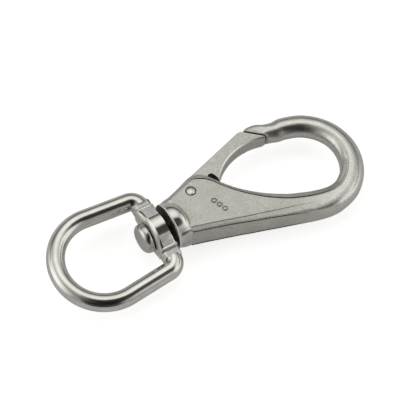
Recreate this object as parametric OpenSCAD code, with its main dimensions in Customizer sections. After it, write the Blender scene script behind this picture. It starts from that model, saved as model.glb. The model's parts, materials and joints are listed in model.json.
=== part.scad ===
// Swivel-eye boat snap: a cast hook with a sprung lever gate and a free-turning eye.
// +X runs along the swivel axis from the eye to the hook, +Y points to the gate side,
// and +Z is square to the flat body. The origin is the centre of the eye's round end.

/* [Eye] */
// Diameter of the eye's round bar
eye_bar_d = 6.3; // [5:0.1:6.4]
// Radius of the eye's round end, to the middle of the bar
eye_r = 15.6; // [14:0.1:17]
// Distance from the round end's centre to the middle of the crossbar
eye_len = 20.4; // [19:0.1:20.6]
// Angle by which each leg leans in towards the crossbar
eye_taper = 5.4; // [3:0.1:8]
// Radius of each corner, to the middle of the bar
eye_corner_r = 3.6; // [3.4:0.1:6]
// Width of the crossbar and its collar along the swivel axis
collar_w = 6; // [5:0.1:6]
// Outer diameter of the collar
collar_d = 14.6; // [13:0.1:15]
// Angle at which the eye lies about the swivel axis
eye_turn = 7.5; // [0:0.5:90]

/* [Swivel stud] */
// Diameter of the stud's shank
shank_d = 6; // [5:0.1:6.4]
// Diameter of the stud's button head
head_d = 10.4; // [9:0.1:12]
// Thickness of the button head
head_t = 3.2; // [2:0.1:3.4]
// Length of shank held in the neck
shank_grip = 6.5; // [4:0.1:6.6]

/* [Hook body] */
// Thickness of the body between its flat panels
body_t = 9.8; // [9:0.1:10]
// Height of each flat panel above the rounded body
panel_rise = 0.1; // [0.1:0.05:0.2]
// Diameter of the round flange beside the eye
flange_d = 16.2; // [15:0.1:17]
// Thickness of the flange's rim
rim_t = 0.8; // [0.6:0.1:1]
// Half angle of the wedge that the body's two sides make
wedge_angle = 18; // [17.5:0.1:18.5]
// Diameter of the hook's round bar at the far end of the bowl
bar_d = 7.8; // [7.4:0.1:8.4]
// Radius of the bowl, to the middle of the bar
bowl_r = 16.9; // [16.7:0.1:17.1]

/* [Gate] */
// Thickness of the lever gate
gate_t = 6; // [5.4:0.1:6]
// Width of the slot that the gate turns in
slot_w = 6.4; // [6.4:0.1:6.8]
// Diameter of the gate's rivet
rivet_d = 3.7; // [3:0.1:3.8]
// Diameter of the gate's hinge eye
hub_d = 8.2; // [8:0.1:8.4]

/* [Spring] */
// Diameter of the spring's wire
wire_d = 0.7; // [0.5:0.05:0.8]
// Diameter of the coil, to the middle of the wire
coil_d = 5.2; // [5:0.1:5.4]
// Number of whole turns in the coil
coil_turns = 3; // [2:1:3]

/* [Hidden] */
$fn = 64;
over = 1;                               // how far a cutting shape runs past what it cuts
run_clear = 0.05;                       // radial clearance of a turning fit

// Places along the swivel axis
collar_face = eye_len + collar_w / 2;
flange_x = collar_face + 1.2;           // the flange's face, past a 1.2 mm gap
head_x = eye_len - collar_w / 2 - 0.6;  // the button's inner face, 0.6 mm off the collar
neck_x = flange_x + 6.2;                // where the domed neck runs out on the panel
body_h = body_t / 2 - panel_rise;       // half height of the rounded body

// Bowl and hinge
bowl = [75.4, -2.4];
hinge = [36.8, 5.8];

// The line of the wedge's side on the gate's side; the spine's side is a little closer in
side_x = 29.5;
side_y = 8.2;
function wedge(x) = side_y + (x - side_x) * tan(wedge_angle);

function turn2(p, a) = [p.x * cos(a) - p.y * sin(a), p.x * sin(a) + p.y * cos(a)];
function arc(c, r, a0, a1, n) = [for (i = [0:n]) c + turn2([r, 0], a0 + (a1 - a0) * i / n)];
function spline(a, b, c, d, t) =
    0.5 * (2 * b + (c - a) * t + (2 * a - 5 * b + 4 * c - d) * t * t
    + (3 * b - a - 3 * c + d) * t * t * t);

// Closed solid through rings of points; each ring has the same number of points.
module loft(rings, closed = false) {
    n = len(rings);
    m = len(rings[0]);
    last = closed ? n - 1 : n - 2;
    points = [for (ring = rings) each ring];
    walls = [
        for (i = [0:last], j = [0:m - 1], k = [0, 1])
            let (a = i * m, b = ((i + 1) % n) * m, c = (j + 1) % m)
            k == 0 ? [a + j, b + j, b + c] : [a + j, b + c, a + c]
    ];
    caps = closed ? [] : [[for (j = [0:m - 1]) j], [for (j = [m - 1:-1:0]) (n - 1) * m + j]];
    polyhedron(points = points, faces = concat(walls, caps), convexity = 6);
}

// Stations of the hook body: [outer edge, inner edge, half height, corner radius].
// The outer edge runs down the spine, round the outside of the bowl and out to the nose.
body_stations = [
    [[25.2, -7.2], [25.2, 7.4], body_h - 0.2, 2.6],
    [[27.2, -7.6], [27.2, 7.9], body_h, 2.5],
    [[side_x, -7.9], [side_x, side_y], body_h, 2.3],
    [[34, -9.15], [34, wedge(34)], body_h, 2.3],
    [[38, -10.35], [39.4, 11.4], body_h, 2.2],
    [[41, -11.25], [42.6, 10.6], body_h, 2],
    [[43.5, -12.05], [44.9, 8.6], body_h - 0.05, 2.2],
    [[46, -12.85], [46.8, 5.7], body_h - 0.1, 2.4],
    [[49, -13.9], [49.1, 2.4], body_h - 0.15, 2.6],
    [[53, -15.15], [52.4, -1.4], body_h - 0.2, 2.8],
    [[57.5, -16.65], [57.7, -6], body_h - 0.3, 3],
    [[62, -18.15], [63.9, -9.9], body_h - 0.4, 3.4],
    [[65.6, -19.4], [68.3, -11.85], body_h - 0.5, 3.7],
    [[69.8, -20.95], [72.1, -13.2], body_h - 0.55, 3.9],
    [[75.1, -22.35], [76, -14.1], body_h - 0.6, 4],
    [[79.7, -22.5], [79, -14.1], body_h - 0.65, 4.1]
];
bowl_step = 20;
bowl_stations = [
    for (a = [-60:bowl_step:80])
        let (w = bar_d / 2 + (a < 0 ? -0.35 * a / 90 : -0.15 * a / 90))
        [bowl + turn2([bowl_r + w, 0], a), bowl + turn2([bowl_r - w, 0], a),
         min(w, bar_d / 2 + 0.1), w]
];
nose_stations = [
    [[75.4, 18], [75.3, 11], 3.5, 3.4],
    [[72.5, 18.6], [72.7, 12], 3.4, 3.3],
    [[69.4, 20], [71.6, 12.3], 3.4, 3.3],
    [[66.3, 19.9], [71, 12.5], 3.4, 3.3],
    [[64.3, 18.4], [70.2, 13.2], 3.2, 3.1]
];
stations = concat(body_stations, bowl_stations, nose_stations);

// Rounded rectangle between two edge points, standing square to the XY plane.
corner_steps = 4;
function section(s) =
    let (half = norm(s[1] - s[0]) / 2, across = (s[1] - s[0]) / (2 * half))
    let (mid = (s[0] + s[1]) / 2, r = min(s[3], half - 0.02, s[2] - 0.02))
    [for (q = [0:3], k = [0:corner_steps])
        let (a = 90 * q + 90 * k / corner_steps)
        let (u = (half - r) * (q == 0 || q == 3 ? 1 : -1) + r * cos(a))
        let (v = (s[2] - r) * (q < 2 ? 1 : -1) + r * sin(a))
        [mid.x + across.x * u, mid.y + across.y * u, v]];

sub_steps = 3;
function station(i) = stations[max(0, min(len(stations) - 1, i))];
function between(i, t) = [for (k = [0:3])
    spline(station(i - 1)[k], station(i)[k], station(i + 1)[k], station(i + 2)[k], t)];
body_rings = [
    for (i = [0:len(stations) - 2], k = [0:sub_steps - 1]) section(between(i, k / sub_steps)),
    section(stations[len(stations) - 1])
];

// Outline of the flat panels
panel_outline = concat(
    [[neck_x - 2.6, -5.6], [37.6, -8], [46, -10.7], [54, -13.3]],
    [[56, -10.4], [54.6, -7.4], [52.4, -4.8], [48.4, -1.2], [46, 2.4], [44, 5.6], [42.7, 8]],
    [[41.4, 9.3], [39.6, 9.7], [37, 9], [neck_x - 2.6, 5.6]]
);

module panels() {
    translate([0, 0, -body_t / 2])
        linear_extrude(body_t)
            polygon(panel_outline);
}

// Domed neck, trimmed to the wedge's sides, with the round flange on its end
module neck() {
    dome = [for (a = [0:12:72]) [flange_d / 2 * pow(cos(a), 0.45) - 0.15, 6.3 * sin(a)]];
    intersection() {
        translate([flange_x + rim_t / 2, 0, 0])
            rotate([0, 90, 0])
                rotate_extrude()
                    polygon(concat([[0, 0]], dome, [[0, dome[len(dome) - 1].y]]));
        translate([0, 0, -flange_d / 2])
            linear_extrude(flange_d)
                polygon([[20, -7.8], [27.2, -7.7], [36, -9.8], [36, wedge(36)], [27.2, 8],
                    [20, 8]]);
    }
    chamfer = 0.25;
    translate([flange_x, 0, 0])
        rotate([0, 90, 0])
            rotate_extrude()
                polygon([[0, 0], [flange_d / 2 - chamfer, 0], [flange_d / 2, chamfer],
                    [flange_d / 2, rim_t], [0, rim_t]]);
}

// Slot that the gate turns in, open at the back and at the hook's mouth
slot_outline = [[32.2, 1], [50.5, -1.8], [60, -1.8], [60, 22], [32.2, 16]];
module slot() {
    translate([0, 0, -slot_w / 2])
        linear_extrude(slot_w)
            polygon(slot_outline);
}

// Three pips cast on the panel
pip_d = 1.2;
pip_gap = 2.2;
pip_rise = 0.15;
pip_at = [42, -3.4];
module pips() {
    for (i = [-1:1])
        translate([pip_at.x + 0.35 * pip_gap * i, pip_at.y - pip_gap * i, 0])
            cylinder(d = pip_d, h = body_t / 2 + pip_rise);
}

module hook_body() {
    color([0.72, 0.71, 0.68])
        difference() {
            union() {
                loft(body_rings);
                panels();
                neck();
                pips();
            }
            slot();
            translate([hinge.x, hinge.y, -body_t])
                cylinder(d = rivet_d, h = 2 * body_t);
            translate([flange_x - over, 0, 0])
                rotate([0, 90, 0])
                    cylinder(d = shank_d, h = shank_grip + over + 0.2);
        }
}

// Rivet with low domed ends, tight in the cheeks
rivet_dome = 0.3;
module gate_rivet() {
    ball_r = (rivet_d * rivet_d / 4 + rivet_dome * rivet_dome) / (2 * rivet_dome);
    half = body_t / 2 - 0.1;
    top_arc = [for (x = [0:0.25:1])
        [rivet_d / 2 * (1 - x), half + sqrt(ball_r * ball_r - pow(rivet_d / 2 * (1 - x), 2))
            - ball_r + rivet_dome]];
    bottom_arc = [for (i = [len(top_arc) - 1:-1:0]) [top_arc[i].x, -top_arc[i].y]];
    color([0.8, 0.79, 0.77])
        translate([hinge.x, hinge.y, 0])
            rotate_extrude()
                polygon(concat(top_arc, bottom_arc));
}

// Button head inside the eye, a plain shank through the collar, pressed into the neck
module swivel_stud() {
    edge = 1.2;
    round_edge = [for (a = [0:15:90])
        [head_d / 2 - edge + edge * sin(a), edge - edge * cos(a)]];
    color([0.8, 0.79, 0.77])
        translate([head_x - head_t, 0, 0])
            rotate([0, 90, 0])
                rotate_extrude()
                    polygon(concat([[0, 0]], round_edge, [
                        [head_d / 2, head_t - 0.3], [head_d / 2 - 0.3, head_t],
                        [shank_d / 2, head_t], [shank_d / 2, flange_x + shank_grip - head_x + head_t],
                        [0, flange_x + shank_grip - head_x + head_t]]));
}

// Middle line of the eye's bar, from one end of the crossbar round to the other
corner_x = eye_len - eye_corner_r;
corner_y = (eye_r - eye_corner_r - corner_x * sin(eye_taper)) / cos(eye_taper);
ring_steps = 32;
corner_steps_eye = 8;
lean = 90 - eye_taper;
eye_line = concat(
    [for (k = [0:corner_steps_eye]) [[corner_x, corner_y], eye_corner_r, lean * k / corner_steps_eye]],
    [for (k = [0:ring_steps]) [[0, 0], eye_r, lean + (360 - 2 * lean) * k / ring_steps]],
    [for (k = [0:corner_steps_eye])
        [[corner_x, -corner_y], eye_corner_r, 360 - lean + lean * k / corner_steps_eye]]
);
bar_sides = 16;
eye_rings = [for (s = eye_line) [for (j = [0:bar_sides - 1])
    let (a = 360 * (j + 0.5) / bar_sides, p = s[0] + turn2([s[1] + eye_bar_d / 2 * cos(a), 0], s[2]))
    [p.x, p.y, -eye_bar_d / 2 * sin(a)]]];

module swivel_eye() {
    flat_l = 2 * corner_y;
    color([0.8, 0.79, 0.77])
        rotate([eye_turn, 0, 0])
            difference() {
                union() {
                    loft(eye_rings, closed = true);
                    translate([eye_len, 0, 0])
                        cube([collar_w, flat_l, eye_bar_d - 0.2], center = true);
                    translate([eye_len - collar_w / 2, 0, 0])
                        rotate([0, 90, 0])
                            cylinder(d = collar_d, h = collar_w);
                }
                translate([eye_len - collar_w, 0, 0])
                    rotate([0, 90, 0])
                        cylinder(d = shank_d + 2 * run_clear, h = 2 * collar_w);
            }
}

// Lever gate: straight back, hollow inner edge and a slanting end that meets the nose
gate_hollow = [63.8, -6.1];
gate_hollow_r = 19.9;
gate_back_angle = 17.5;
gate_back = hinge + turn2([0, hub_d / 2 + 0.7], gate_back_angle);
gate_outline = concat(
    [gate_back, [61.4, gate_back.y + (61.4 - gate_back.x) * tan(gate_back_angle)]],
    [[62.6, 18.7], [63.5, 18.6], [69.6, 13.2]],
    arc(gate_hollow, gate_hollow_r, 73, 143, 14),
    [[47.6, 4.6]]
);
channel_w = 3.6;                        // room for the spring between the hinge eye's two walls

module gate() {
    color([0.72, 0.71, 0.68])
        difference() {
            union() {
                translate([0, 0, -gate_t / 2])
                    linear_extrude(gate_t)
                        polygon(concat(gate_outline, [hinge - turn2([0, hub_d / 2], -6)]));
                translate([hinge.x, hinge.y, -gate_t / 2])
                    cylinder(d = hub_d, h = gate_t);
            }
            translate([hinge.x, hinge.y, -gate_t])
                cylinder(d = rivet_d + 2 * run_clear, h = 2 * gate_t);
            translate([hinge.x, hinge.y, -channel_w / 2])
                cylinder(d = coil_d + wire_d + 0.7, h = channel_w);
            translate([0, 0, -channel_w / 2])
                linear_extrude(channel_w)
                    polygon([[hinge.x - 3, hinge.y], [hinge.x, hinge.y + 3.3], [46.6, 10.2],
                        [46.6, -over], [hinge.x - 3, -over]]);
            translate([0, 0, -gate_t])
                linear_extrude(2 * gate_t)
                    polygon([[45, 5], [45.3, 8.4], [46.2, 9], [47, 9], [47.3, 7], [47, 5]]);
        }
}

// Torsion spring round the rivet: one leg on the slot's floor, one in the gate's channel
wire_sides = 8;
pitch = wire_d + 0.12;
coil_steps = 16;
fixed_leg_a = -119;
moving_leg_a = 97;
leg_l = 7.5;
coil_angle = 360 * coil_turns + 360 + (fixed_leg_a - moving_leg_a);
coil_count = round(coil_angle / 360 * coil_steps);
spring_line = concat(
    [[turn2([coil_d / 2, leg_l], fixed_leg_a), 0, fixed_leg_a]],
    [for (k = [0:coil_count])
        let (t = k / coil_count, a = fixed_leg_a - coil_angle * t)
        [turn2([coil_d / 2, 0], a), t, a]],
    [[turn2([coil_d / 2, -leg_l], moving_leg_a), 1, moving_leg_a]]
);
spring_h = pitch * coil_angle / 360;
spring_rings = [for (s = spring_line) [for (j = [0:wire_sides - 1])
    let (a = 360 * j / wire_sides, p = s[0] + turn2([wire_d / 2 * cos(a), 0], s[2]))
    [p.x, p.y, spring_h * (s[1] - 0.5) + wire_d / 2 * sin(a)]]];

module gate_spring() {
    color([0.6, 0.6, 0.6])
        translate([hinge.x, hinge.y, 0])
            loft(spring_rings);
}

hook_body();
gate_rivet();
swivel_stud();
swivel_eye();
gate();
gate_spring();
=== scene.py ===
"""Swivel-eye boat snap in stainless steel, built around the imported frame.

Lengths in this file are in millimetres until a mesh is made, then in metres.
+X runs from the eye to the hook, +Y points to the gate side, +Z is square to the flat body.
"""
import json
import math

import bmesh
import bpy
import numpy as np
from mathutils import Matrix, Vector


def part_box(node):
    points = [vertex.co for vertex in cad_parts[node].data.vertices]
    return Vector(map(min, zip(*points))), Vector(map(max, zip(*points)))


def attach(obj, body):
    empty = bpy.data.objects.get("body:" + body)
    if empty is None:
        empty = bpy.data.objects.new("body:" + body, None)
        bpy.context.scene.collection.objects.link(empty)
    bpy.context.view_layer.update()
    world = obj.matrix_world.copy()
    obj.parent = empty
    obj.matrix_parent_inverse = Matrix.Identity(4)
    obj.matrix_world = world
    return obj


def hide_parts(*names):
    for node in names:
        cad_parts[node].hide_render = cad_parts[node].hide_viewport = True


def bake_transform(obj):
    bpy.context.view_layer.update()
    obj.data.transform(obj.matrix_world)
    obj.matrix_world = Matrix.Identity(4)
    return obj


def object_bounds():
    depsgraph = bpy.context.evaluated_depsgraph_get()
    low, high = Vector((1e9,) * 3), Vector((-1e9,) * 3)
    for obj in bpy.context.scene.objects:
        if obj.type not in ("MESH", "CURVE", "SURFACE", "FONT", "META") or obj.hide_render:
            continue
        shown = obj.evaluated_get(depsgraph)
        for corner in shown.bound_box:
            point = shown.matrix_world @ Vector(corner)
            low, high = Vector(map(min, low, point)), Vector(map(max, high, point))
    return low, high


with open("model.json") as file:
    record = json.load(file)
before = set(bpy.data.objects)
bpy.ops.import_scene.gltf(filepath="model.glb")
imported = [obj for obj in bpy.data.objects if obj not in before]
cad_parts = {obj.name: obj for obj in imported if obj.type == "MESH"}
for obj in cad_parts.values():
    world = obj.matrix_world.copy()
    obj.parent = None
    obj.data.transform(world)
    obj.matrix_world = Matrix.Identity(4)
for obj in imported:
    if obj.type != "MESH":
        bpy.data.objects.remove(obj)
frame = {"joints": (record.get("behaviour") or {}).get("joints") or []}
cad_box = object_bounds()

MM = 0.001
BODY_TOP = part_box("gate_rivet")[1].z / MM - 0.3     # height of the flat panels
GATE_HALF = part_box("gate")[1].z / MM                # half the gate's thickness
FLANGE_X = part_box("hook_body")[0].x / MM            # face of the neck's flange
FLANGE_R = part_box("hook_body")[1].z / MM            # radius of that flange
JOINT = {j["name"]: j for j in frame["joints"]}
HINGE = np.array(JOINT["gate_hinge"]["pos_m"][:2]) / MM
EYE_TURN = 7.5                                      # degrees the eye is turned on its stud


# ---------------------------------------------------------------- curves and outlines

def turn2(point, degrees):
    """A point in the plane turned about the origin."""
    a = math.radians(degrees)
    x, y = point
    return np.array([x * math.cos(a) - y * math.sin(a), x * math.sin(a) + y * math.cos(a)])


def arc(centre, radius, start, end, steps):
    """Points along an arc between two angles in degrees."""
    angles = np.linspace(start, end, steps + 1)
    return [np.array(centre) + turn2((radius, 0), a) for a in angles]


def spline(rows, steps):
    """Catmull-Rom rows between the given rows, with the first and last ones kept."""
    rows = np.array(rows, float)
    padded = np.vstack([rows[:1], rows, rows[-1:]])
    out = []
    for i in range(len(rows) - 1):
        a, b, c, d = padded[i:i + 4]
        for k in range(steps):
            t = k / steps
            out.append(0.5 * (2 * b + (c - a) * t + (2 * a - 5 * b + 4 * c - d) * t ** 2
                              + (3 * b - a - 3 * c + d) * t ** 3))
    out.append(rows[-1])
    return np.array(out)


def offset(outline, distance):
    """A closed outline moved outward by a distance."""
    p = np.array(outline, float)
    along = np.roll(p, -1, 0) - np.roll(p, 1, 0)
    normal = np.c_[along[:, 1], -along[:, 0]]
    normal /= np.linalg.norm(normal, axis=1)[:, None]
    area = np.sum(p[:, 0] * np.roll(p[:, 1], -1) - np.roll(p[:, 0], -1) * p[:, 1])
    return p + normal * np.sign(area) * distance


# ---------------------------------------------------------------- meshes

def mesh_object(name, points, faces):
    """Object in the scene from points in millimetres."""
    mesh = bpy.data.meshes.new(name)
    mesh.from_pydata([tuple(np.array(p) * MM) for p in points], [], faces)
    obj = bpy.data.objects.new(name, mesh)
    bpy.context.scene.collection.objects.link(obj)
    bm = bmesh.new()
    bm.from_mesh(mesh)
    bmesh.ops.recalc_face_normals(bm, faces=bm.faces)
    bm.to_mesh(mesh)
    bm.free()
    return obj


def loft(name, rings, closed=False):
    """Closed tube through rings of points; an open one gets flat ends."""
    count, size = len(rings), len(rings[0])
    points = np.concatenate([np.array(ring, float) for ring in rings])
    faces = []
    for i in range(count if closed else count - 1):
        a, b = i * size, ((i + 1) % count) * size
        faces += [(a + j, b + j, b + (j + 1) % size, a + (j + 1) % size) for j in range(size)]
    if not closed:
        faces += [tuple(range(size)), tuple((count - 1) * size + j for j in range(size))]
    return mesh_object(name, points, faces)


def stacked(name, levels):
    """Solid through outlines of equal length, each at its own height."""
    return loft(name, [[(x, y, z) for x, y in outline] for outline, z in levels])


def prism(name, outline, low, high):
    return stacked(name, [(outline, low), (outline, high)])


def slab(name, outline, half, chamfer):
    """Flat piece between -half and half with a 45 degree chamfer round both faces."""
    inner, edge = offset(outline, -chamfer), half - chamfer
    return stacked(name, [(inner, -half), (outline, -edge), (outline, edge), (inner, half)])


LEAST_R = 0.001                 # a ring on the axis keeps this radius, so that it stays a ring


def turned(name, profile, axis, steps=96):
    """Solid of revolution; profile holds (distance along the axis, radius) from end to end."""
    rings = []
    for along, radius in profile:
        ring = []
        for k in range(steps):
            a = 2 * math.pi * k / steps
            u, v = max(radius, LEAST_R) * math.cos(a), max(radius, LEAST_R) * math.sin(a)
            ring.append((along, u, v) if axis == "x" else (u, v, along))
        rings.append(ring)
    return loft(name, rings)


def place(obj, x=0, y=0, turn_x=0):
    """Mesh moved, then turned about the swivel axis."""
    shift = Matrix.Translation((x * MM, y * MM, 0))
    obj.data.transform(Matrix.Rotation(math.radians(turn_x), 4, "X") @ shift)
    return obj


def apply_modifiers(obj):
    bpy.context.view_layer.update()
    evaluated = obj.evaluated_get(bpy.context.evaluated_depsgraph_get())
    mesh = bpy.data.meshes.new_from_object(evaluated)
    obj.modifiers.clear()
    obj.data = mesh
    return obj


def combine(obj, operation, *others):
    """Exact boolean with each of the others in turn, which are used up."""
    for other in others:
        mod = obj.modifiers.new("boolean", "BOOLEAN")
        mod.operation = operation
        mod.solver = "EXACT"
        mod.material_mode = "TRANSFER"
        mod.object = other
        apply_modifiers(obj)
        bpy.data.objects.remove(other)
    return obj


MERGE, SLIVER = 0.002 * MM, 0.001 * MM      # distances for cleaning up after booleans
AREA_WEIGHT = 80                            # how far large faces rule the shading of small ones


def smooth(obj, angle):
    """Clean mesh, shaded smooth but for edges sharper than the angle in degrees."""
    bm = bmesh.new()
    bm.from_mesh(obj.data)
    bmesh.ops.remove_doubles(bm, verts=bm.verts, dist=MERGE)
    bmesh.ops.dissolve_degenerate(bm, edges=bm.edges, dist=SLIVER)
    bmesh.ops.triangulate(bm, faces=[f for f in bm.faces if len(f.verts) > 4])
    bm.to_mesh(obj.data)
    bm.free()
    for polygon in obj.data.polygons:
        polygon.use_smooth = True
    obj.data.set_sharp_from_angle(angle=math.radians(angle))
    mod = obj.modifiers.new("weighted", "WEIGHTED_NORMAL")
    mod.weight = AREA_WEIGHT
    mod.keep_sharp = True
    return apply_modifiers(obj)


# ---------------------------------------------------------------- materials

class Nodes:
    """Small helper that adds and joins shader nodes."""

    def __init__(self, name):
        self.material = bpy.data.materials.new(name)
        self.material.use_nodes = True
        self.tree = self.material.node_tree
        self.shader = self.tree.nodes["Principled BSDF"]

    def add(self, kind, **inputs):
        node = self.tree.nodes.new(kind)
        for key, value in inputs.items():
            self.set(node.inputs[key.replace("_", " ")], value)
        return node

    def set(self, socket, value):
        if isinstance(value, bpy.types.NodeSocket):
            self.tree.links.new(value, socket)
        else:
            socket.default_value = value

    def where(self):
        return self.add("ShaderNodeTexCoord").outputs["Object"]

    def scaled(self, x, y, z):
        mapping = self.add("ShaderNodeMapping", Vector=self.where(), Scale=(x, y, z))
        return mapping.outputs["Vector"]

    def noise(self, scale, detail, rough, vector=None):
        node = self.add("ShaderNodeTexNoise", Scale=scale, Detail=detail, Roughness=rough)
        self.set(node.inputs["Vector"], vector or self.where())
        return node.outputs["Fac"]

    def remap(self, value, low, high, to_low, to_high, smooth_step=False):
        node = self.add("ShaderNodeMapRange")
        node.interpolation_type = "SMOOTHSTEP" if smooth_step else "LINEAR"
        for name, v in (("Value", value), ("From Min", low), ("From Max", high),
                        ("To Min", to_low), ("To Max", to_high)):
            self.set(node.inputs[name], v)
        return node.outputs["Result"]

    def math(self, operation, a, b):
        node = self.add("ShaderNodeMath")
        node.operation = operation
        self.set(node.inputs[0], a)
        self.set(node.inputs[1], b)
        return node.outputs[0]

    def mix(self, factor, a, b):
        """Mix of two numbers."""
        node = self.add("ShaderNodeMix")
        self.set(node.inputs[0], factor)
        self.set(node.inputs[2], a)
        self.set(node.inputs[3], b)
        return node.outputs[0]

    def mix_colour(self, factor, a, b):
        """Mix of two colours."""
        node = self.add("ShaderNodeMix")
        node.data_type = "RGBA"
        self.set(node.inputs[0], factor)
        self.set(node.inputs[6], a)
        self.set(node.inputs[7], b)
        return node.outputs[2]

    def bump(self, height, distance, strength, normal=None):
        """Bump whose distance is in millimetres, on top of another normal."""
        node = self.add("ShaderNodeBump", Height=height, Distance=distance * MM,
                        Strength=strength)
        if normal:
            self.set(node.inputs["Normal"], normal)
        return node.outputs["Normal"]

    def crevice_shade(self, colour):
        """Painted shade: the colour mixed towards near-black in grooves and tight corners, by
        ambient occlusion.
        """
        cover = self.add("ShaderNodeAmbientOcclusion", Distance=CREVICE_SHADE_REACH * MM)
        cover.samples = CREVICE_SHADE_SAMPLES
        shade_share = self.remap(cover.outputs["AO"], 0.35, 0.85, 1.0, 0.0)
        return self.mix_colour(shade_share, colour, CREVICE_SHADE)

    def finish(self, colour, roughness, normal):
        """Bare metal with this colour, roughness and normal; the colour gets painted shade in
        grooves and tight corners.
        """
        # painted shade in grooves and tight corners
        colour = self.crevice_shade(colour)
        self.set(self.shader.inputs["Base Color"], colour)
        self.set(self.shader.inputs["Roughness"], roughness)
        self.set(self.shader.inputs["Normal"], normal)
        self.shader.inputs["Metallic"].default_value = 1.0
        return self.material


# Pairs of colours run from the darker to the brighter tone of a finish, and pairs of
# roughness from the glossiest to the dullest spot.
# Painted shade: the near-black that grooves and tight corners are darkened towards, how far the
# occlusion reaches in millimetres, and its samples.
CREVICE_SHADE = (0.05, 0.045, 0.04, 1)
CREVICE_SHADE_REACH, CREVICE_SHADE_SAMPLES = 0.7, 6
TUMBLED = ((0.55, 0.54, 0.50, 1), (0.76, 0.745, 0.70, 1))
BOWL_POLISH = ((0.62, 0.615, 0.585, 1), (0.76, 0.75, 0.715, 1))
FORGED = ((0.70, 0.705, 0.68, 1), (0.97, 0.97, 0.95, 1))
MIRROR = ((0.68, 0.665, 0.63, 1), (0.80, 0.79, 0.755, 1))
# Much brighter pair for the flange: a painted highlight along its rim.
RIM_HIGHLIGHT = ((0.88, 0.87, 0.84, 1), (0.97, 0.96, 0.94, 1))
# Bright pair for burnished edges: real burnish with lower roughness, brightened further as a
# painted highlight.
BURNISHED_HIGHLIGHT = ((0.84, 0.83, 0.79, 1), (0.93, 0.92, 0.89, 1))
BUTTON = ((0.60, 0.59, 0.56, 1), (0.72, 0.705, 0.67, 1))
# near-black pair for painted shade on inside faces and gaps
SLOT_SHADE_TONES = ((0.10, 0.095, 0.085, 1), (0.24, 0.23, 0.21, 1))


def satin_steel(name, rough=(0.34, 0.48), colours=TUMBLED, polished_from=None):
    """Tumbled satin castings. Along X the finish can run out into polished bar."""
    n = Nodes(name)
    blotch = n.noise(180, 4, 0.6)
    speck = n.noise(1900, 3, 0.75)
    grain = n.noise(4200, 2, 0.7)
    brushed = n.noise(900, 3, 0.6, n.scaled(0.35, 1, 1))
    tone = n.remap(n.mix(0.8, blotch, speck), 0.4, 0.6, 0.0, 1.0)
    colour = n.mix_colour(tone, *colours)
    roughness = n.remap(n.mix(0.5, speck, brushed), 0.35, 0.65, *rough)
    strength = 0.5
    if polished_from:
        start, end = polished_from
        x = n.add("ShaderNodeSeparateXYZ", Vector=n.where()).outputs["X"]
        wobble = n.math("MULTIPLY", n.math("SUBTRACT", blotch, 0.5), 4 * MM)
        polish = n.remap(n.math("ADD", x, wobble), start * MM, end * MM, 0.0, 1.0, True)
        colour = n.mix_colour(polish, colour, n.mix_colour(tone, *BOWL_POLISH))
        roughness = n.mix(polish, roughness, n.remap(brushed, 0.3, 0.7, 0.22, 0.3))
        strength = n.mix(polish, strength, 0.06)
    normal = n.bump(speck, 0.16, strength, n.bump(brushed, 0.06, 0.3))
    return n.finish(colour, roughness, n.bump(grain, 0.04, strength, normal))


def polished_steel(name, rough, colours=MIRROR):
    """Mill-polished bar: soft reflections with faint draw lines and small dents."""
    n = Nodes(name)
    blotch = n.noise(160, 4, 0.6)
    dents = n.noise(420, 2, 0.5)
    grain = n.noise(4200, 2, 0.7)
    colour = n.mix_colour(n.remap(blotch, 0.35, 0.65, 0.0, 1.0), *colours)
    roughness = n.remap(n.mix(0.4, blotch, grain), 0.3, 0.7, *rough)
    return n.finish(colour, roughness, n.bump(grain, 0.01, 0.35, n.bump(dents, 0.08, 0.3)))


def slot_shade_steel(name):
    """Painted shade for inside faces: near-black metal with a blotchy tone, for slots, bores,
    pockets, notches and the flange's face in the gap.
    """
    n = Nodes(name)
    blotch = n.noise(500, 4, 0.65)
    colour = n.mix_colour(n.remap(blotch, 0.35, 0.65, 0.0, 1.0), *SLOT_SHADE_TONES)
    return n.finish(colour, n.remap(blotch, 0.3, 0.7, 0.45, 0.6), n.bump(blotch, 0.05, 0.5))


SATIN_BODY = satin_steel("satin_body", polished_from=(62, 80))
SATIN_GATE = satin_steel("satin_gate")
FORGED_STEEL = satin_steel("forged_flats", (0.55, 0.75), FORGED)
POLISHED = polished_steel("polished_bar", (0.1, 0.16))
NECK_STEEL = polished_steel("neck_polish", (0.09, 0.14))
RIM_HIGHLIGHT_STEEL = polished_steel("flange_rim_highlight", (0.4, 0.52), RIM_HIGHLIGHT)
EDGE_HIGHLIGHT_STEEL = polished_steel("burnished_edge_highlight", (0.28, 0.38), BURNISHED_HIGHLIGHT)
ROOT_STEEL = polished_steel("neck_root", (0.3, 0.4))
STUD_STEEL = polished_steel("stud_button", (0.14, 0.22), BUTTON)
RIVET_STEEL = polished_steel("rivet_end", (0.2, 0.28))
SPRING_STEEL = polished_steel("spring_wire", (0.25, 0.35))
# painted shade on the cut faces of slots, bores, pockets and notches, and on the flange's face
SLOT_SHADE_STEEL = slot_shade_steel("slot_painted_shade")


def paint(obj, material):
    """One material all over; what a boolean adds or cuts keeps the other piece's own."""
    obj.data.materials.clear()
    obj.data.materials.append(material)
    return obj


# ---------------------------------------------------------------- hook body

NECK_END = 29.4                          # where the flat body starts
SIDE_START = (29.5, 8.2)                 # first point of the straight side by the gate
WEDGE = math.tan(math.radians(18))       # slope of that side


def gate_side(x):
    return [x, SIDE_START[1] + (x - SIDE_START[0]) * WEDGE]


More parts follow.
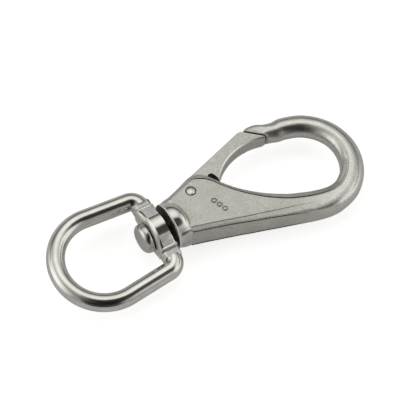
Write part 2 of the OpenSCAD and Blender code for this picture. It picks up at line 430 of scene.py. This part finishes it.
# A station is a cut across the casting. Its columns are the x and y of the outer edge and of
# the inner edge, then the seven below. The outer edge is the spine's side all the way round.
OUTER, INNER = slice(0, 2), slice(2, 4)
HIGH = 4                                 # half the thickness
BAND = 5                                 # width of the sloping band along the outer edge
INNER_R = 6                              # radius of the inner edge where it is round
CRISP = 7                                # 1 for a crisp outer edge, 0 for a round one
OUTER_LINE, INNER_LINE = 8, 9            # strength of the finish lines beside each edge
TILT = 10                                # height gained at the inner edge, lost at the outer
H = BODY_TOP                             # short for the table
BODY_STATIONS = [
    [NECK_END, -7.87, *gate_side(NECK_END), H, 1.4, 2.2, 1, 1, 0, 0],
    [34, -9.15, *gate_side(34), H, 1.4, 2.2, 1, 1, 0, 0],
    [38, -10.35, 39.4, 11.4, H, 1.4, 2.2, 1, 1, 0.6, 0],
    [41, -11.25, 42.6, 10.6, H - 0.04, 1.4, 2.3, 1, 1, 1, 0],
    [43.5, -12.05, 44.9, 8.6, H - 0.1, 1.45, 2.5, 1, 1, 1, 0],
    [46, -12.85, 46.8, 5.7, H - 0.16, 1.55, 2.6, 1, 1, 1, 0],
    [49, -13.9, 49.1, 2.4, H - 0.22, 1.7, 2.7, 1, 1, 1, 0],
    [53, -15.15, 52.4, -1.4, H - 0.3, 1.9, 2.8, 1, 1, 1, 0],
    [57.5, -16.65, 57.7, -6, H - 0.4, 2.1, 3, 1, 0.9, 1, 0],
    [62, -18.15, 63.9, -9.9, H - 0.5, 2.4, 3.2, 0.95, 0.7, 1, 0],
    [65.6, -19.4, 68.3, -11.85, H - 0.58, 2.8, 3.4, 0.85, 0.4, 1, 0],
    [69.8, -20.95, 72.1, -13.2, H - 0.65, 3.2, 3.6, 0.7, 0.15, 0.95, 0],
    [75.1, -22.35, 76, -14.1, H - 0.7, 3.6, 3.8, 0.45, 0, 0.9, 0],
    [79.7, -22.45, 79, -14.25, H - 0.75, 3.9, 4, 0.2, 0, 0.85, 0],
]
BOWL, BOWL_R = np.array([75.4, -2.4]), 16.9          # bend of the bar's middle line
BAR_R = 3.9                              # half the bar's width at the bowl's far end
BOWL_TURNS = range(-60, 81, 20)


def bowl_station(angle):
    """Round bar of the bowl, which gets thinner towards the nose."""
    taper = 0.35 if angle < 0 else 0.15
    half_width = BAR_R - taper * angle / 90
    outer = BOWL + turn2((BOWL_R + half_width, 0), angle)
    inner = BOWL + turn2((BOWL_R - half_width, 0), angle)
    line = min(0.8, max(0.0, (20 - angle) / 80))
    flattened = 0.16 * max(0.0, (angle - 20) / 60) ** 2
    high = min(half_width, BAR_R + 0.1) - flattened
    return [*outer, *inner, high, half_width, half_width, 0, 0, line, 0]


NOSE_STATIONS = [
    [75.3, 18.02, 75.0, 10.95, 3.5, 3.5, 3.45, 0, 0, 0, -0.04],
    [72.4, 18.62, 73.2, 11.65, 3.38, 3.2, 3.1, 0, 0, 0, -0.08],
    [69.5, 19.9, 71.9, 12.2, 3.3, 3.0, 2.8, 0, 0, 0, -0.1],
    [66.9, 19.95, 71.3, 12.5, 3.25, 2.7, 2.5, 0, 0, 0, -0.08],
    [65.7, 19.5, 71.1, 12.9, 3.15, 2.1, 2.2, 0, 0, 0, -0.04],
    [64.9, 18.85, 70.85, 13.45, 3.0, 1.4, 2.2, 0, 0, 0, 0],
]
LEDGE_DROP = 0.34                        # fall of the sloping band along the outer edge
LINE_DEPTH, LINE_WIDTH = 0.4, 0.4        # finish lines each side of the panel
EDGE_LINE = 0.45                         # depth of the line under the outer edge
INNER_BAND = 2.5                         # width of the strip between the inner line and edge
INNER_DROP, INNER_FILLET = 0.42, 0.8     # that strip's fall, and the radius of its edge


def share_of(row, column):
    """A station's value that a spline may have carried past 0 or 1."""
    return min(1, max(0, row[column]))


def outer_corner(row):
    """Points (inset, height) from the outer edge up to the flat top, crisp or round."""
    high, band = row[HIGH], row[BAND]
    crisp, line = share_of(row, CRISP), share_of(row, OUTER_LINE)
    top = high - LEDGE_DROP
    cut = EDGE_LINE * line
    sharp = [(0, top - 0.82), (cut, top - 0.74), (cut, top - 0.3), (0.02, top - 0.22),
             (0.06, top - 0.06), (0.22, top + 0.02)]
    start = sharp[-1]
    for t in (0.25, 0.5, 0.75, 1):
        sharp.append((start[0] + (band - start[0]) * t, start[1] + (high - start[1]) * t))
    r = min(band, high - 0.02)
    soft = [(r * (1 - math.cos(a)), high - r * (1 - math.sin(a)))
            for a in np.linspace(0, math.pi / 2, len(sharp))]
    points = [np.array(p) * crisp + np.array(q) * (1 - crisp) for p, q in zip(sharp, soft)]
    edge = points[-1][0]
    width = LINE_WIDTH * max(line, 0.05)
    for share, deep in ((0.25, 0.5), (0.5, 0.5), (1, 0)):
        points.append(np.array((edge + width * share, high - LINE_DEPTH * deep * line)))
    return points


def inner_corner(row):
    """Points (inset from the inner edge, height) from the flat top down to the inner edge."""
    high, line = row[HIGH], share_of(row, INNER_LINE)
    r = min(row[INNER_R], high - 0.02)
    start, low = INNER_BAND, high - INNER_DROP
    sharp = [(start + 0.5, high), (start + 0.25, high), (start + 0.08, high - 0.02),
             (start, high - 0.06), (start - 0.08, high - LINE_DEPTH),
             (start - 0.36, high - LINE_DEPTH), (start - 0.45, high - 0.1),
             (INNER_FILLET, low)]
    sharp += [(INNER_FILLET * (1 - math.sin(a)), low - INNER_FILLET * (1 - math.cos(a)))
              for a in np.linspace(math.pi / 14, math.pi / 2, 7)]
    points = []
    for a, point in zip(np.linspace(0, math.pi / 2, len(sharp)), sharp):
        soft = np.array((r * (1 - math.sin(a)), high - r * (1 - math.cos(a))))
        points.append(np.array(point) * line + soft * (1 - line))
    return points


def section(row):
    """Closed ring across the bar between its outer and inner edge points."""
    outer, inner = row[OUTER], row[INNER]
    width = np.linalg.norm(inner - outer)
    across = (inner - outer) / width
    from_outer, from_inner = outer_corner(row), inner_corner(row)
    least_flat = 0.03
    shrink = min(1, (width - least_flat) / (from_outer[-1][0] + from_inner[0][0]))
    upper = [(0, 0)] + [(u * shrink, v) for u, v in from_outer]
    upper += [(width - u * shrink, v) for u, v in from_inner] + [(width, 0)]
    ring = []
    for u, v in upper + [(u, -v) for u, v in upper[-2:0:-1]]:
        thicker = 1 + row[TILT] / row[HIGH] * (2 * u / width - 1)
        ring.append((*(outer + across * u), v * thicker))
    return ring


def casting(name, stations, steps):
    """Loft through stations with a few more worked out between each two."""
    return loft(name, [section(row) for row in spline(stations, steps)])


def neck():
    """Domed neck, fuller on the spine's side, behind a thin round flange."""
    length, radius, rim = 6.1, FLANGE_R - 0.12, 0.7
    start, steps, least = rim * 0.6, 96, 0.01
    rings = []
    for share in 1 - (1 - np.linspace(0, 1, 30)) ** 1.6:
        ring = []
        for k in range(steps):
            a = 2 * math.pi * k / steps
            power = 3.4 - 1.2 * math.sin(a)
            r = max(least, radius * (1 - min(0.999, share) ** power) ** (1 / power))
            ring.append((FLANGE_X + start + length * share, r * math.sin(a), r * math.cos(a)))
        rings.append(ring)
    dome = paint(loft("neck", rings), NECK_STEEL)
    edge, mid = 0.2, 0.06
    profile = [(0, edge), (mid, mid), (edge, 0), (rim - edge, 0), (rim - mid, mid), (rim, edge)]
    flange = turned("flange", [(FLANGE_X + x, FLANGE_R - drop) for x, drop in profile], "x", 128)
    # the flange gets the bright rim material: a painted highlight
    return combine(dome, "UNION", paint(flange, RIM_HIGHLIGHT_STEEL))


def neck_root():
    """Body section that runs on under the dome up to the flange, a little inside the body."""
    h, start, end = H - 0.06, FLANGE_X + 0.5, NECK_END + 0.2
    stations = [[start, -7.4, start, 7.5, h - 0.3, 2.2, 2.6, 0, 0, 0, 0],
                [27.3, -7.8, 27.3, 7.95, h, 1.6, 2.4, 0, 0, 0, 0],
                [end, -7.88, end, SIDE_START[1], h, 1.35, 2.2, 0, 0, 0, 0]]
    return paint(casting("neck_root", stations, 4), ROOT_STEEL)


PIP_AT, PIP_STEP = np.array([42.4, -3.4]), np.array([0.8, -2.2])


def pip_parts(place_xy):
    """A low round pip, and the shallow dish that it stands in."""
    low = BODY_TOP - 0.08
    pip = [(low - 0.5, 0.62), (low + 0.02, 0.62), (low + 0.12, 0.5), (low + 0.17, 0.3),
           (low + 0.18, 0.0)]
    dish = [(low - 0.2, 0.85), (low - 0.12, 0.95), (low + 0.3, 1.15)]
    return [paint(place(turned(name, profile, "z", steps), *place_xy), SATIN_BODY)
            for name, profile, steps in (("pip", pip, 24), ("dish", dish, 32))]


def gate_slot():
    """Slot for the gate, open towards the gate's side and the hook's opening."""
    half = GATE_HALF + 0.2
    outline = [(32.2, 1), (50.5, -1.8), (60, -1.8), (60, 22), (32.2, 16)]
    # the slot's cut faces keep this dark material: painted shade
    return paint(prism("slot", outline, -half, half), SLOT_SHADE_STEEL)


def rivet_seat(side):
    """Shallow cone that one end of the rivet lies in."""
    profile = [(BODY_TOP - 0.5, 1.55), (BODY_TOP - 0.1, 1.8), (BODY_TOP + 0.5, 2.1)]
    seat = turned("rivet_seat", [(side * z, r) for z, r in profile], "z", 48)
    return paint(place(seat, *HINGE), SATIN_BODY)


def hook_body():
    """One casting: neck, flat wedge, spine, bowl and nose."""
    stations = BODY_STATIONS + [bowl_station(angle) for angle in BOWL_TURNS] + NOSE_STATIONS
    body = paint(casting("cast_hook", stations, 8), SATIN_BODY)
    combine(body, "UNION", neck_root(), neck())
    for i in (-1, 0, 1):
        pip, dish = pip_parts(PIP_AT + PIP_STEP * i)
        combine(body, "DIFFERENCE", dish)
        combine(body, "UNION", pip)
    combine(body, "DIFFERENCE", gate_slot(), rivet_seat(1), rivet_seat(-1))
    smooth(body, 26)
    # the flange's face gets the dark slot material: painted shade in the gap to the collar
    shaded = list(body.data.materials).index(SLOT_SHADE_STEEL)
    for face in body.data.polygons:             # the flange's face, which the collar shades
        if abs(face.center.x / MM - FLANGE_X) < 0.02:
            face.material_index = shaded
    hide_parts("hook_body")
    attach(body, "hook")


# ---------------------------------------------------------------- rivet, stud, spring

def gate_rivet():
    """Rivet with low lens-shaped ends that stand in shallow seats."""
    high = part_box("gate_rivet")[1].z / MM - 0.05
    radius, slope = 1.5, math.radians(20)
    ball = radius / math.sin(slope)
    top = [(high - ball * (1 - math.cos(a)), ball * math.sin(a))
           for a in np.linspace(0, slope, 10)]
    profile = [(-z, r) for z, r in top] + top[::-1]
    rivet = place(turned("rivet", profile, "z", 64), *HINGE)
    paint(smooth(rivet, 40), RIVET_STEEL)
    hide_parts("gate_rivet")
    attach(rivet, "hook")


def swivel_stud():
    """Button head with a soft edge, and the shank through the collar."""
    low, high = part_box("swivel_stud")
    tip, root, head_r = low.x / MM, high.x / MM, high.z / MM
    head, shank_r = 3.2, 3.0                # the head's length, the shank's radius
    flat_r, rise, rim = 3.0, 0.2, 0.75      # nearly flat face, its rise, straight rim behind it
    face = [(tip + rise * t * t, flat_r * t) for t in (0, 0.25, 0.5, 0.75)]
    crown = [(tip + rise + (head - rim - rise) * (1 - math.cos(a)),
              flat_r + (head_r - flat_r) * math.sin(a))
             for a in np.linspace(0, math.pi / 2, 14)]
    back = tip + head
    edge = [(back - 0.3, head_r), (back - 0.1, head_r - 0.08), (back, head_r - 0.3)]
    shank = [(back, shank_r), (root, shank_r), (root, 0)]
    stud = turned("stud", face + crown + edge + shank, "x")
    paint(smooth(stud, 35), STUD_STEEL)
    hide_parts("swivel_stud")
    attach(stud, "hook")


def gate_spring():
    """Torsion spring: its lower leg lies on the slot's floor and its upper leg reaches into the
    gate; the spring is not attached to the gate, so it does not turn with it.
    """
    wire, coil, leg = 0.35, 2.6, 7.5        # wire's and coil's radius, length of a leg
    fixed, moving = -119, 97                # degrees at which the legs leave the coil
    angle = 360 * 3 + 144
    pitch, steps = 0.82, 120
    height = pitch * angle / 360
    path = [(*turn2((coil, leg), fixed), 0, fixed)]
    path += [(*turn2((coil, 0), fixed - angle * k / steps), k / steps, fixed - angle * k / steps)
             for k in range(steps + 1)]
    path += [(*turn2((coil, -leg), moving), 1, moving)]
    rings = []
    for x, y, share, turn in path:
        ring = []
        for b in np.linspace(0, 2 * math.pi, 12, endpoint=False):
            dx, dy = turn2((wire * math.cos(b), 0), turn)
            ring.append((HINGE[0] + x + dx, HINGE[1] + y + dy,
                         height * (share - 0.5) + wire * math.sin(b)))
        rings.append(ring)
    spring = loft("torsion_spring", rings)
    paint(smooth(spring, 60), SPRING_STEEL)
    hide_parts("gate_spring")
    x, y = HINGE * MM
    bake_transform(spring)


# ---------------------------------------------------------------- gate

HUB_R = 4.1
BACK_ANGLE = 17.5                        # degrees that the straight back rises
HOLLOW, HOLLOW_R = (63.8, -6.1), 19.9    # arc of the inner edge
TIP = np.array((70.55, 13.5))            # the end's lower corner
TIP_UP, TIP_OUT = np.array((0.324, 0.947)), np.array((0.947, -0.324))    # across it, off it
GATE_CHAMFER = 0.42
SPRING_HALF = 1.8                        # half the width of the spring's channel


def gate_outline():
    """From the hinge along the back, down the slanting end and back along the hollow edge."""
    back = HINGE + turn2((0, HUB_R + 0.7), BACK_ANGLE)
    back_end = 61.0
    rise = (back_end - back[0]) * math.tan(math.radians(BACK_ANGLE))
    outline = [back, (back_end, back[1] + rise), (62.6, 18.95), (63.6, 19.1), (64.45, 18.95), TIP]
    outline += arc(HOLLOW, HOLLOW_R, 71.4, 143, 30)
    outline += [(47.6, 4.7), HINGE - turn2((0, HUB_R), -6)]
    return outline + arc(HINGE, HUB_R, 264, 118, 16)[1:]


def tip_cut():
    """Wedge that takes off the tip's corner on the underside."""
    under = -GATE_HALF - 0.1
    ends = [(TIP + TIP_OUT * out + TIP_UP * up, z) for up in (-3, 6)
            for out, z in ((-1.5, under), (1, under), (1, -0.6))]
    wedge = mesh_object("tip_cut", [(*point, z) for point, z in ends],
                        [(0, 1, 2), (3, 4, 5), (0, 1, 4, 3), (1, 2, 5, 4), (2, 0, 3, 5)])
    return paint(wedge, SATIN_GATE)


def gate_hollows():
    """Rivet's bore, the spring's pocket and channel, and the notch beside the hinge."""
    start, pocket_r, through = HINGE[0] - 3, 3.3, 9
    channel = [(start, HINGE[1]), (HINGE[0], HINGE[1] + pocket_r), (46.6, 10.2), (46.6, -1),
               (start, -1)]
    notch = [(44.9, 5), (45.1, 8.9), (46, 9.6), (47.1, 9.3), (47.6, 8.3), (47.9, 7.2), (48.2, 5)]
    bore = turned("bore", [(-through, 1.9), (through, 1.9)], "z", 48)
    pocket = turned("pocket", [(-SPRING_HALF, pocket_r), (SPRING_HALF, pocket_r)], "z", 48)
    cuts = (place(bore, *HINGE), place(pocket, *HINGE),
            prism("channel", channel, -SPRING_HALF, SPRING_HALF),
            prism("notch", notch, -through, through))
    # these cut faces keep the dark material: painted shade
    return [paint(cut, SLOT_SHADE_STEEL) for cut in cuts]


def gate():
    """Lever gate with burnished chamfers along its edges, their colour brightened as a painted
    highlight.
    """
    lever = paint(slab("lever_gate", gate_outline(), GATE_HALF, GATE_CHAMFER), SATIN_GATE)
    combine(lever, "DIFFERENCE", tip_cut(), *gate_hollows())
    smooth(lever, 30)
    lever.data.materials.append(EDGE_HIGHLIGHT_STEEL)
    edge_slot = len(lever.data.materials) - 1
    # chamfer faces get the bright edge material: burnish and a painted highlight
    for face in lever.data.polygons:
        if 0.2 < abs(face.normal.z) < 0.97 and face.material_index == 0:
            face.material_index = edge_slot
    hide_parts("gate")
    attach(lever, "gate")


# ---------------------------------------------------------------- swivel eye

EYE_R, EYE_BAR = 15.56, 3.12             # bend radius of the bar's middle line, bar's radius
EYE_LEN = 20.4                           # from the bend's centre to the crossbar's
EYE_TAPER, EYE_CORNER = 5.4, 3.6         # degrees that each side leans in, corner radius
COLLAR_W, COLLAR_R = 6.0, 7.3
COLLAR_BORE = 3.05
CUT_FAR, CUT_NEAR = 10.8, -10.3          # where the round bar stops and the forged flats begin
STEP_FAR, STEP_NEAR = 8.6, -7.7          # small step up from each flat to the collar's shoulder
FLAT_H, SHOULDER_H = 2.6, 3.7


def crossbar_side(step, cut):
    """Points (y, z) from the top of the collar down to where the flat ends on one side."""
    sign = math.copysign(1, step)
    lean = (math.atan2(abs(step), SHOULDER_H)
            - math.acos(COLLAR_R / math.hypot(step, SHOULDER_H)))
    points = [(COLLAR_R * math.sin(a) * sign, COLLAR_R * math.cos(a))
              for a in np.linspace(0, lean, 12)]
    shoulder = (step - 0.3 * sign, SHOULDER_H)
    points.append(tuple((np.array(points[-1]) + shoulder) / 2))
    ridge = [(-0.45, 0.08), (-0.05, 0.1), (0.1, -0.12)]
    points += [(step + out * sign, SHOULDER_H + up) for out, up in ridge]
    groove = [(0.25, -0.15), (0.6, -0.15), (0.75, 0)]
    points += [(step + out * sign, FLAT_H + up) for out, up in groove]
    return points + [(cut, FLAT_H), (cut + 0.6 * sign, FLAT_H - 0.3)]


def crossbar():
    """Forged crossbar: flats, a small step, sloping shoulders and the round collar."""
    far, near = crossbar_side(STEP_FAR, CUT_FAR), crossbar_side(STEP_NEAR, CUT_NEAR)
    upper = near[::-1] + far[1:]
    profile = np.array(upper + [(y, -z) for y, z in upper[::-1]])
    lifted = np.clip((np.abs(profile[:, 1]) - SHOULDER_H) / 2, 0, 1)
    chamfer = 0.35 + 0.95 * lifted       # deeper on the collar than on the flats
    half = COLLAR_W / 2
    rings = []
    for x, share in ((-half, 1.1), (-half + 0.5, 0.45), (-half + 1.1, 0),
                     (half - 0.9, 0), (half - 0.45, 0.42), (half, 1)):
        rings.append([(EYE_LEN + x, y, z - math.copysign(depth * share, z))
                      for (y, z), depth in zip(profile, chamfer)])
    bar = paint(loft("crossbar", rings), FORGED_STEEL)
    bar.data.materials.append(POLISHED)
    bar.data.materials.append(EDGE_HIGHLIGHT_STEEL)
    polished, edge = 1, 2                # their slots
    for face in bar.data.polygons:
        y, z = face.center.y / MM, face.center.z / MM
        on_arc = abs(math.hypot(y, z) - COLLAR_R) < 0.05
        on_chamfer = 0.2 < abs(face.normal.x) < 0.95
        # the small steps get the bright edge material: a painted highlight along the ridge
        if abs(z) > SHOULDER_H and min(abs(y - STEP_FAR), abs(y - STEP_NEAR)) < 0.35:
            face.material_index = edge
        elif on_arc or on_chamfer:
            face.material_index = polished
    return bar


def eye_bar():
    """Round bar bent to a D, whose straight side the crossbar replaces in part."""
    lean, taper = 90 - EYE_TAPER, math.radians(EYE_TAPER)
    corner_x = EYE_LEN - EYE_CORNER
    corner_y = (EYE_R - EYE_CORNER - corner_x * math.sin(taper)) / math.cos(taper)
    path = [((corner_x, corner_y), EYE_CORNER, a) for a in np.linspace(0, lean, 13)]
    path += [((0, 0), EYE_R, a) for a in np.linspace(lean, 360 - lean, 97)]
    path += [((corner_x, -corner_y), EYE_CORNER, a) for a in np.linspace(360 - lean, 360, 13)]
    rings = []
    for centre, radius, a in path:
        ring = []
        for b in np.linspace(0, 2 * math.pi, 40, endpoint=False):
            x, y = np.array(centre) + turn2((radius + EYE_BAR * math.cos(b), 0), a)
            ring.append((x, y, -EYE_BAR * math.sin(b)))
        rings.append(ring)
    return paint(loft("swivel_ring", rings, closed=True), POLISHED)


def swivel_eye():
    """Bar ground flat between the corners, and the crossbar with the collar it turns on."""
    eye = eye_bar()
    start, end = EYE_LEN - 5, EYE_LEN + 5
    ground = [(start, CUT_FAR), (end, CUT_FAR), (end, CUT_NEAR), (start, CUT_NEAR)]
    for side in (1, -1):
        gap = prism("gap", ground, 2.5 * side, 9 * side)
        combine(eye, "DIFFERENCE", paint(gap, FORGED_STEEL))
    combine(eye, "UNION", crossbar())
    bore = place(turned("bore", [(-8, COLLAR_BORE), (8, COLLAR_BORE)], "x", 64), EYE_LEN)
    # the bore's faces keep the dark material: painted shade
    combine(eye, "DIFFERENCE", paint(bore, SLOT_SHADE_STEEL))
    place(eye, turn_x=EYE_TURN)
    smooth(eye, 30)
    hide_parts("swivel_eye")
    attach(eye, "eye")


hook_body()
gate_rivet()
swivel_stud()
gate_spring()
gate()
swivel_eye()


# ---------------------------------------------------------------- floor, light and camera

def floor():
    """Pale paper that looks brighter to the camera than it does in the metal."""
    size, z = 1.5, cad_box[0][2] - 0.2 * MM
    mesh = bpy.data.meshes.new("floor")
    mesh.from_pydata([(-size, -size, z), (size, -size, z), (size, size, z), (-size, size, z)],
                     [], [(0, 1, 2, 3)])
    obj = bpy.data.objects.new("floor", mesh)
    bpy.context.scene.collection.objects.link(obj)
    n = Nodes("floor_paper")
    paper = n.mix_colour(n.noise(60, 2, 0.5), (0.70, 0.70, 0.70, 1), (0.74, 0.74, 0.74, 1))
    seen = n.add("ShaderNodeLightPath").outputs["Is Camera Ray"]
    for name, value in (("Base Color", paper), ("Roughness", 0.9), ("Specular IOR Level", 0.1),
                        ("Emission Color", (1, 1, 1, 1)),
                        ("Emission Strength", n.mix(seen, 0.1, 0.75))):
        n.set(n.shader.inputs[name], value)
    mesh.materials.append(n.material)


# Places in the sky: turn from +X and rise above the floor, then radii, all in degrees.
SKY = 0.38
TENT = (1.0, 0.985, 0.955, 1)
LAMPS = [(155, 22, 42, 0.9), (332, 28, 40, 0.8), (65, 68, 34, 0.78)]      # radius, gain
SEAM = (74, 67, 64, 56)                  # the tent's dark seam, a ring round the zenith
SEAM_SIDE, SEAM_DARK = (55, 25, 85, 60), 0.88        # the part of the ring that is there
DARK_PATCHES = [(244, 25, 34, 22, 0.16), (246, 48, 32, 18, 0.35),
                (285, 64, 30, 18, 0.12)]             # outer radius, inner radius, level left


def studio():
    """Light tent: soft boxes left, right and overhead, a seam, and the dark room by the lens."""
    world = bpy.data.worlds.new("tent")
    bpy.context.scene.world = world
    world.use_nodes = True
    tree = world.node_tree
    background = tree.nodes["Background"]
    direction = tree.nodes.new("ShaderNodeTexCoord").outputs["Generated"]

    def maths(operation, a, b):
        made = tree.nodes.new("ShaderNodeMath")
        made.operation = operation
        for socket, value in zip(made.inputs, (a, b)):
            if isinstance(value, bpy.types.NodeSocket):
                tree.links.new(value, socket)
            else:
                socket.default_value = value
        return made.outputs[0]

    def patch(turn, rise, edge, core, outside, inside, soft=True):
        """Level that runs from outside a round patch of sky to its core."""
        t, r = math.radians(turn), math.radians(rise)
        dot = tree.nodes.new("ShaderNodeVectorMath")
        dot.operation = "DOT_PRODUCT"
        tree.links.new(direction, dot.inputs[0])
        dot.inputs[1].default_value = (math.cos(t) * math.cos(r), math.sin(t) * math.cos(r),
                                       math.sin(r))
        ramp = tree.nodes.new("ShaderNodeMapRange")
        ramp.interpolation_type = "SMOOTHSTEP" if soft else "LINEAR"
        tree.links.new(dot.outputs["Value"], ramp.inputs["Value"])
        for name, v in (("From Min", math.cos(math.radians(edge))),
                        ("From Max", math.cos(math.radians(core))),
                        ("To Min", outside), ("To Max", inside)):
            ramp.inputs[name].default_value = v
        return ramp.outputs["Result"]

    level = SKY
    for turn, rise, edge, gain in LAMPS:
        level = maths("ADD", patch(turn, rise, edge, 0, 0.0, gain, soft=False), level)
    edge, core, inner_edge, inner_core = SEAM
    seam = maths("MULTIPLY", patch(0, 90, edge, core, 0.0, 1.0),
                 patch(0, 90, inner_edge, inner_core, 1.0, 0.0))
    seam = maths("MULTIPLY", seam, patch(*SEAM_SIDE, 0.0, SEAM_DARK))
    level = maths("MULTIPLY", level, maths("SUBTRACT", 1.0, seam))
    for turn, rise, edge, core, left in DARK_PATCHES:
        level = maths("MULTIPLY", patch(turn, rise, edge, core, 1.0, left), level)
    tree.links.new(level, background.inputs["Strength"])
    background.inputs["Color"].default_value = TENT


def camera():
    """Long lens, looking down at the flat body from the eye's end."""
    azimuth, elevation, roll = (math.radians(d) for d in (34.0, 57.8, 3.52))
    distance = 862.3 * MM
    target = Vector((39.98, -0.22, 0)) * MM
    back = Vector((-math.sin(azimuth) * math.cos(elevation),
                   -math.cos(azimuth) * math.cos(elevation), math.sin(elevation)))
    data = bpy.data.cameras.new("camera")
    data.lens, data.sensor_width = 225, 36
    data.clip_start, data.clip_end = 0.05, 10
    obj = bpy.data.objects.new("camera", data)
    look = (-back).to_track_quat("-Z", "Y").to_matrix().to_4x4()
    obj.matrix_world = (Matrix.Translation(target + back * distance) @ look
                        @ Matrix.Rotation(roll, 4, "Z"))
    bpy.context.scene.collection.objects.link(obj)
    bpy.context.scene.camera = obj


floor()
studio()
camera()
bpy.context.scene.view_settings.view_transform = "Standard"
